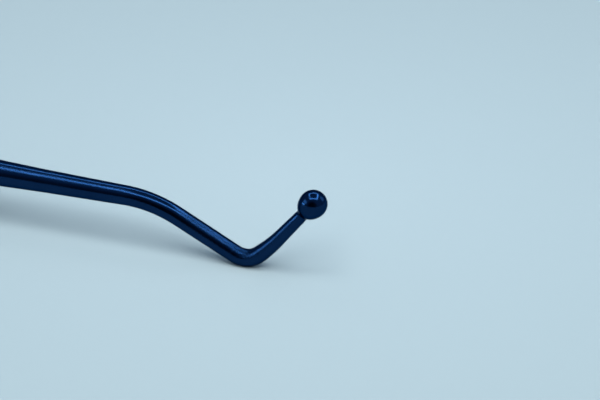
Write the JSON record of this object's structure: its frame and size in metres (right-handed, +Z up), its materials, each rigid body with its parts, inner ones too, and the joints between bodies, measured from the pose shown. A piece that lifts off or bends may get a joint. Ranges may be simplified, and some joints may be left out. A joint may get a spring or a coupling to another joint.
{
  "type": "double-ended dental hand instrument",
  "caption": "Double-ended dental hand instrument with screw-in working ends, one tipped with a ball and one a graduated periodontal probe, on a ringed hollow handle.",
  "frame": {"origin": "centre of the handle's barrel, on the handle's axis", "axes": "+X along the handle towards the ball end, +Z up from the surface that the barrel rests on, so both working ends bend in the XZ plane"},
  "size_m": [0.1685, 0.01, 0.0174],
  "materials": {
    "handle_steel": "satin",
    "blue_steel": "polished",
    "grip_silicone": "satin",
    "code_silicone": "satin",
    "seal_silicone": "matte",
    "mark_enamel": "gloss"
  },
  "bodies": {
    "handle": {"code_ring_ball": "code_silicone", "code_ring_probe": "code_silicone", "grip_ring_ball_1": "grip_silicone", "grip_ring_ball_2": "grip_silicone", "grip_ring_ball_3": "grip_silicone", "grip_ring_ball_4": "grip_silicone", "grip_ring_ball_5": "grip_silicone", "grip_ring_ball_6": "grip_silicone", "grip_ring_probe_1": "grip_silicone", "grip_ring_probe_2": "grip_silicone", "grip_ring_probe_3": "grip_silicone", "grip_ring_probe_4": "grip_silicone", "grip_ring_probe_5": "grip_silicone", "grip_ring_probe_6": "grip_silicone", "handle_tube": "handle_steel", "nose_ball": "handle_steel", "nose_probe": "handle_steel"},
    "ball_seal": {"seal_ring_ball": "seal_silicone"},
    "ball_end": {"ball_end": "blue_steel"},
    "probe_seal": {"seal_ring_probe": "seal_silicone"},
    "probe_end": {"probe_end": "blue_steel", "depth_mark_low": "mark_enamel", "depth_mark_high": "mark_enamel"}
  },
  "joints": [
    {"name": "ball_end_travel", "type": "slide", "parent": "handle", "child": "ball_seal", "axis": [1, 0, 0], "range_m": [0, 0.0045]},
    {"name": "ball_end_screw", "type": "hinge", "parent": "ball_seal", "child": "ball_end", "pos_m": [0.0475, 0, 0], "axis": [1, 0, 0], "range_deg": [0, 3600]},
    {"name": "probe_end_travel", "type": "slide", "parent": "handle", "child": "probe_seal", "axis": [-1, 0, 0], "range_m": [0, 0.0045]},
    {"name": "probe_end_screw", "type": "hinge", "parent": "probe_seal", "child": "probe_end", "pos_m": [-0.0475, 0, 0], "axis": [-1, 0, 0], "range_deg": [0, 3600]}
  ],
  "couplings": [
    {"joint": "ball_end_screw", "follows": "ball_end_travel", "rad_per_m": 13963},
    {"joint": "probe_end_screw", "follows": "probe_end_travel", "rad_per_m": 13963}
  ]
}
